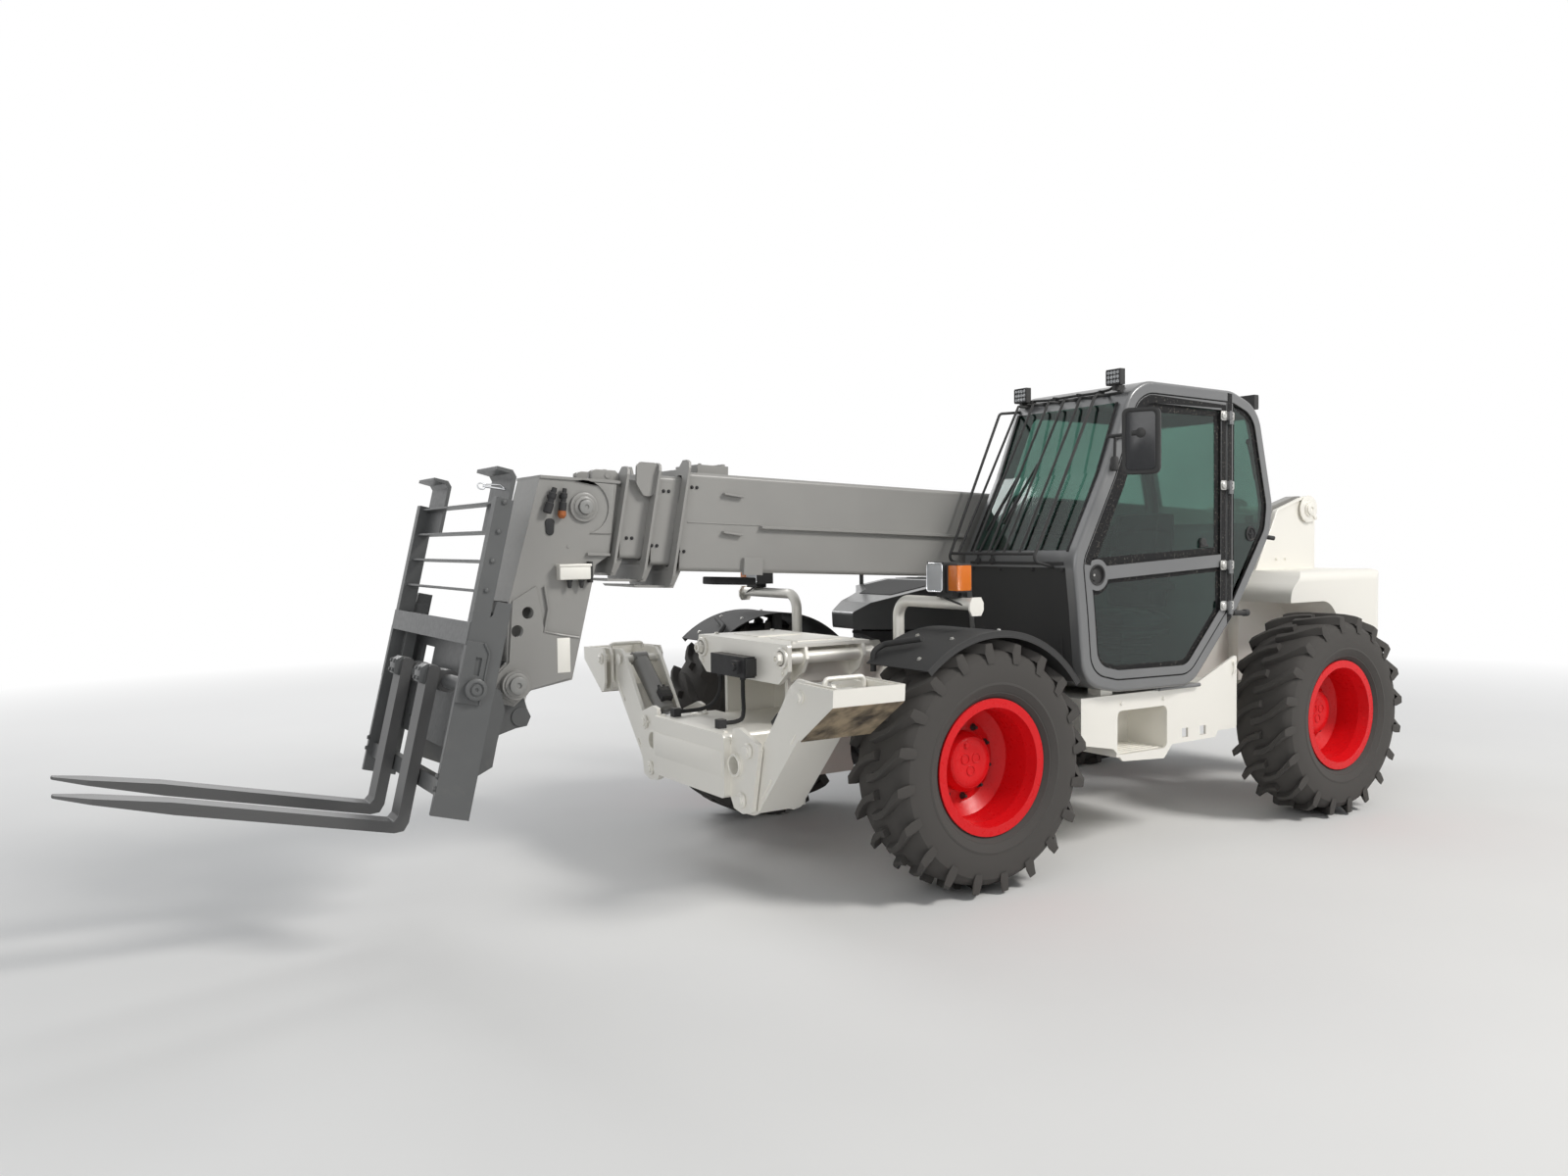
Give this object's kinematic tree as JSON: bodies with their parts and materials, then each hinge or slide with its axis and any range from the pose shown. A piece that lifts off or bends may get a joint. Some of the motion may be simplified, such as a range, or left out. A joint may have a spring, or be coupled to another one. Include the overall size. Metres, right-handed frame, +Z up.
{
  "type": "telehandler",
  "caption": "Full-size all-wheel-steer telehandler with enclosed side cab, telescopic boom with drop nose, fork carriage with load backrest and folding front stabilisers.",
  "frame": {"origin": "middle of the whole bounding box at ground level", "axes": "+X forward along the machine, +Y to its left, +Z up"},
  "size_m": [7.8183, 2.8498, 2.6238],
  "materials": {
    "cream_paint": "satin",
    "boom_grey": "satin",
    "carriage_grey": "satin",
    "fork_steel": "worn",
    "cab_grey": "satin",
    "dark_metal": "matt",
    "rim_red": "gloss",
    "tyre_rubber": "matt",
    "hose_rubber": "matt",
    "black_plastic": "matt",
    "glass": "gloss",
    "seat_fabric": "matt",
    "lamp_lens": "gloss",
    "rod_chrome": "polished"
  },
  "bodies": {
    "chassis": {"chassis_frame": "cream_paint", "rear_body": "cream_paint", "side_step": "cream_paint", "outrigger_beam": "cream_paint", "front_bracket": "cream_paint", "front_axle": "dark_metal", "rear_axle": "dark_metal", "driveline": "dark_metal", "engine_bay": "dark_metal", "engine_block": "dark_metal", "lamp_bars": "cream_paint", "lamps": "lamp_lens", "cab_shell": "cab_grey", "cab_front_panel": "black_plastic", "cab_glass": "glass", "seat": "seat_fabric", "controls": "black_plastic", "mirrors": "black_plastic", "screen_guard": "black_plastic", "hoses": "hose_rubber", "hydraulics": "dark_metal"},
    "boom": {"boom_outer": "boom_grey"},
    "boom_stage_2": {"boom_second": "boom_grey"},
    "boom_stage_3": {"boom_third": "boom_grey"},
    "boom_stage_4": {"boom_inner": "boom_grey"},
    "lift_barrel": {"lift_barrel": "boom_grey"},
    "lift_rod": {"lift_rod": "rod_chrome"},
    "carriage": {"carriage": "carriage_grey"},
    "tilt_barrel": {"tilt_barrel": "boom_grey"},
    "tilt_rod": {"tilt_rod": "rod_chrome"},
    "fork_left": {"fork_left": "fork_steel"},
    "fork_right": {"fork_right": "fork_steel"},
    "knuckle_front_left": {"knuckle_front_left": "dark_metal", "fender_left": "black_plastic"},
    "wheel_front_left": {"rim_front_left": "rim_red", "tyre_front_left": "tyre_rubber"},
    "knuckle_front_right": {"knuckle_front_right": "dark_metal", "fender_right": "black_plastic"},
    "wheel_front_right": {"rim_front_right": "rim_red", "tyre_front_right": "tyre_rubber"},
    "knuckle_rear_left": {"knuckle_rear_left": "dark_metal"},
    "wheel_rear_left": {"rim_rear_left": "rim_red", "tyre_rear_left": "tyre_rubber"},
    "knuckle_rear_right": {"knuckle_rear_right": "dark_metal"},
    "wheel_rear_right": {"rim_rear_right": "rim_red", "tyre_rear_right": "tyre_rubber"},
    "stabiliser_arm_left": {"stabiliser_arm_left": "cream_paint"},
    "stabiliser_foot_left": {"stabiliser_foot_left": "cream_paint"},
    "stabiliser_barrel_left": {"stabiliser_barrel_left": "boom_grey"},
    "stabiliser_rod_left": {"stabiliser_rod_left": "rod_chrome"},
    "stabiliser_arm_right": {"stabiliser_arm_right": "cream_paint"},
    "stabiliser_foot_right": {"stabiliser_foot_right": "cream_paint"},
    "stabiliser_barrel_right": {"stabiliser_barrel_right": "boom_grey"},
    "stabiliser_rod_right": {"stabiliser_rod_right": "rod_chrome"},
    "cab_door": {"cab_door": "cab_grey", "door_glass": "glass"},
    "hood": {"hood": "cab_grey"}
  },
  "joints": [
    {"name": "boom_lift", "type": "hinge", "parent": "chassis", "child": "boom", "pos_m": [-3.69, 0, 1.91], "axis": [0, -1, 0], "range_deg": [-2.5, 64]},
    {"name": "boom_extend_1", "type": "slide", "parent": "boom", "child": "boom_stage_2", "axis": [0.9991, 0, 0.0419], "range_m": [0, 3.3]},
    {"name": "boom_extend_2", "type": "slide", "parent": "boom_stage_2", "child": "boom_stage_3", "axis": [0.9991, 0, 0.0419], "range_m": [0, 3.3]},
    {"name": "boom_extend_3", "type": "slide", "parent": "boom_stage_3", "child": "boom_stage_4", "axis": [0.9991, 0, 0.0419], "range_m": [0, 3.3]},
    {"name": "lift_cylinder_swing", "type": "hinge", "parent": "chassis", "child": "lift_barrel", "pos_m": [-3.14, 0, 0.806], "axis": [0, -1, 0], "range_deg": [-2.46, 55.81]},
    {"name": "lift_cylinder_rod", "type": "slide", "parent": "lift_barrel", "child": "lift_rod", "axis": [0.9601, 0, 0.2796], "range_m": [-0.0518, 1.2531]},
    {"name": "carriage_tilt", "type": "hinge", "parent": "boom_stage_4", "child": "carriage", "pos_m": [2.082, 0, 1.078], "axis": [0, 1, 0], "range_deg": [-8, 95]},
    {"name": "tilt_cylinder_swing", "type": "hinge", "parent": "boom_stage_4", "child": "tilt_barrel", "pos_m": [1.721, 0, 1.899], "axis": [0, 1, 0], "range_deg": [-1, 3]},
    {"name": "tilt_cylinder_rod", "type": "slide", "parent": "tilt_barrel", "child": "tilt_rod", "axis": [0.2964, 0, -0.9551], "range_m": [-0.26, 0.03]},
    {"name": "fork_left_spread", "type": "slide", "parent": "carriage", "child": "fork_left", "axis": [0, 1, 0], "range_m": [-0.13, 0.235]},
    {"name": "fork_right_spread", "type": "slide", "parent": "carriage", "child": "fork_right", "axis": [0, -1, 0], "range_m": [-0.13, 0.235]},
    {"name": "steer_front_left", "type": "hinge", "parent": "chassis", "child": "knuckle_front_left", "pos_m": [0.06, 0.85, 0.62], "axis": [0, 0, 1], "range_deg": [-35, 35]},
    {"name": "spin_front_left", "type": "hinge", "parent": "knuckle_front_left", "child": "wheel_front_left", "pos_m": [0.06, 1.01, 0.62], "axis": [0, 1, 0], "continuous": true},
    {"name": "steer_front_right", "type": "hinge", "parent": "chassis", "child": "knuckle_front_right", "pos_m": [0.06, -0.85, 0.62], "axis": [0, 0, 1], "range_deg": [-35, 35]},
    {"name": "spin_front_right", "type": "hinge", "parent": "knuckle_front_right", "child": "wheel_front_right", "pos_m": [0.06, -1.01, 0.62], "axis": [0, 1, 0], "continuous": true},
    {"name": "steer_rear_left", "type": "hinge", "parent": "chassis", "child": "knuckle_rear_left", "pos_m": [-2.79, 0.85, 0.62], "axis": [0, 0, 1], "range_deg": [-35, 35]},
    {"name": "spin_rear_left", "type": "hinge", "parent": "knuckle_rear_left", "child": "wheel_rear_left", "pos_m": [-2.79, 1.01, 0.62], "axis": [0, 1, 0], "continuous": true},
    {"name": "steer_rear_right", "type": "hinge", "parent": "chassis", "child": "knuckle_rear_right", "pos_m": [-2.79, -0.85, 0.62], "axis": [0, 0, 1], "range_deg": [-35, 35]},
    {"name": "spin_rear_right", "type": "hinge", "parent": "knuckle_rear_right", "child": "wheel_rear_right", "pos_m": [-2.79, -1.01, 0.62], "axis": [0, 1, 0], "continuous": true},
    {"name": "stabiliser_left_fold", "type": "hinge", "parent": "chassis", "child": "stabiliser_arm_left", "pos_m": [0.919, 0.503, 0.47], "axis": [-1, 0, 0], "range_deg": [0, 68]},
    {"name": "stabiliser_left_foot", "type": "hinge", "parent": "stabiliser_arm_left", "child": "stabiliser_foot_left", "pos_m": [0.919, 1.086, 1.037], "axis": [1, 0, 0], "range_deg": [0, 40]},
    {"name": "stabiliser_left_cylinder_swing", "type": "hinge", "parent": "stabiliser_arm_left", "child": "stabiliser_barrel_left", "pos_m": [0.919, 0.96, 1.04], "axis": [-1, 0, 0], "range_deg": [-0.5, 7.79]},
    {"name": "stabiliser_left_cylinder_rod", "type": "slide", "parent": "stabiliser_barrel_left", "child": "stabiliser_rod_left", "axis": [0, -0.7739, -0.6333], "range_m": [-0.002, 0.2809]},
    {"name": "stabiliser_right_fold", "type": "hinge", "parent": "chassis", "child": "stabiliser_arm_right", "pos_m": [0.919, -0.503, 0.47], "axis": [1, 0, 0], "range_deg": [0, 68]},
    {"name": "stabiliser_right_foot", "type": "hinge", "parent": "stabiliser_arm_right", "child": "stabiliser_foot_right", "pos_m": [0.919, -1.086, 1.037], "axis": [-1, 0, 0], "range_deg": [0, 40]},
    {"name": "stabiliser_right_cylinder_swing", "type": "hinge", "parent": "stabiliser_arm_right", "child": "stabiliser_barrel_right", "pos_m": [0.919, -0.96, 1.04], "axis": [1, 0, 0], "range_deg": [-0.5, 7.79]},
    {"name": "stabiliser_right_cylinder_rod", "type": "slide", "parent": "stabiliser_barrel_right", "child": "stabiliser_rod_right", "axis": [0, 0.7739, -0.6333], "range_m": [-0.002, 0.2809]},
    {"name": "cab_door_swing", "type": "hinge", "parent": "chassis", "child": "cab_door", "pos_m": [-1.77, 1.138, 1.5], "axis": [0, 0, 1], "range_deg": [0, 100]},
    {"name": "hood_lift", "type": "hinge", "parent": "chassis", "child": "hood", "pos_m": [-2.086, -0.7, 1.14], "axis": [0, -1, 0], "range_deg": [0, 60]}
  ],
  "couplings": [
    {"joint": "boom_extend_2", "follows": "boom_extend_1", "ratio": 1},
    {"joint": "boom_extend_3", "follows": "boom_extend_1", "ratio": 1},
    {"joint": "lift_cylinder_swing", "follows": "boom_lift", "ratio": 0.86735},
    {"joint": "lift_cylinder_rod", "follows": "boom_lift", "m_per_rad": 1.1191},
    {"joint": "tilt_cylinder_swing", "follows": "carriage_tilt", "ratio": 0.02362},
    {"joint": "tilt_cylinder_rod", "follows": "carriage_tilt", "m_per_rad": -0.15322},
    {"joint": "steer_front_right", "follows": "steer_front_left", "ratio": 1},
    {"joint": "steer_rear_right", "follows": "steer_rear_left", "ratio": 1},
    {"joint": "stabiliser_left_cylinder_swing", "follows": "stabiliser_left_fold", "ratio": 0.10714},
    {"joint": "stabiliser_left_cylinder_rod", "follows": "stabiliser_left_fold", "m_per_rad": 0.23416},
    {"joint": "stabiliser_right_cylinder_swing", "follows": "stabiliser_right_fold", "ratio": 0.10714},
    {"joint": "stabiliser_right_cylinder_rod", "follows": "stabiliser_right_fold", "m_per_rad": 0.23416}
  ]
}
